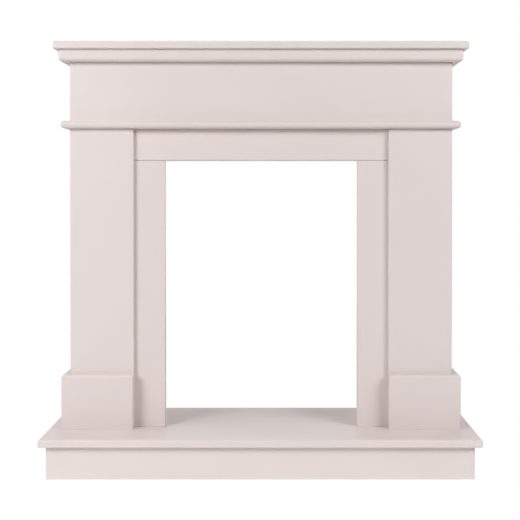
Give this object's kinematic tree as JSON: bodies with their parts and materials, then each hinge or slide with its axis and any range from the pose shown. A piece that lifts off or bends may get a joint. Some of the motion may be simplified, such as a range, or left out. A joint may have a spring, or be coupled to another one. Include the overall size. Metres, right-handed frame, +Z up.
{
  "type": "fireplace mantelpiece",
  "caption": "Painted surround with plain pilasters on plinths, a frieze, a half-round band and a moulded shelf, round a fire opening on a raised hearth.",
  "frame": {"origin": "on the floor, at the bottom centre of the bounding box, under the middle of the hearth", "axes": "+Z up, +Y into the wall behind, so that the front faces -Y, and +X across the front to the right as a viewer in the room sees it"},
  "size_m": [1, 0.325, 1],
  "materials": {
    "satin_paint": "MDF sprayed with off-white satin paint that has a faint warm pink cast",
    "primed_board": "MDF with a matt white primer, on the boards that don't show from the front"
  },
  "bodies": {
    "root": {"hearth_slab": "satin_paint", "hearth_base_front": "satin_paint", "hearth_base_left": "satin_paint", "hearth_base_right": "satin_paint", "hearth_base_back": "primed_board", "pilaster_left_face": "satin_paint", "pilaster_left_outer_side": "satin_paint", "pilaster_left_inner_side": "primed_board", "pilaster_right_face": "satin_paint", "pilaster_right_outer_side": "satin_paint", "pilaster_right_inner_side": "primed_board", "plinth_left_front": "satin_paint", "plinth_left_side": "satin_paint", "plinth_right_front": "satin_paint", "plinth_right_side": "satin_paint", "slip_left": "satin_paint", "slip_right": "satin_paint", "lintel": "satin_paint", "band": "satin_paint", "frieze_front": "satin_paint", "frieze_left": "satin_paint", "frieze_right": "satin_paint", "shelf_moulding_front": "satin_paint", "shelf_moulding_left": "satin_paint", "shelf_moulding_right": "satin_paint", "mantel_shelf": "satin_paint"}
  },
  "joints": []
}
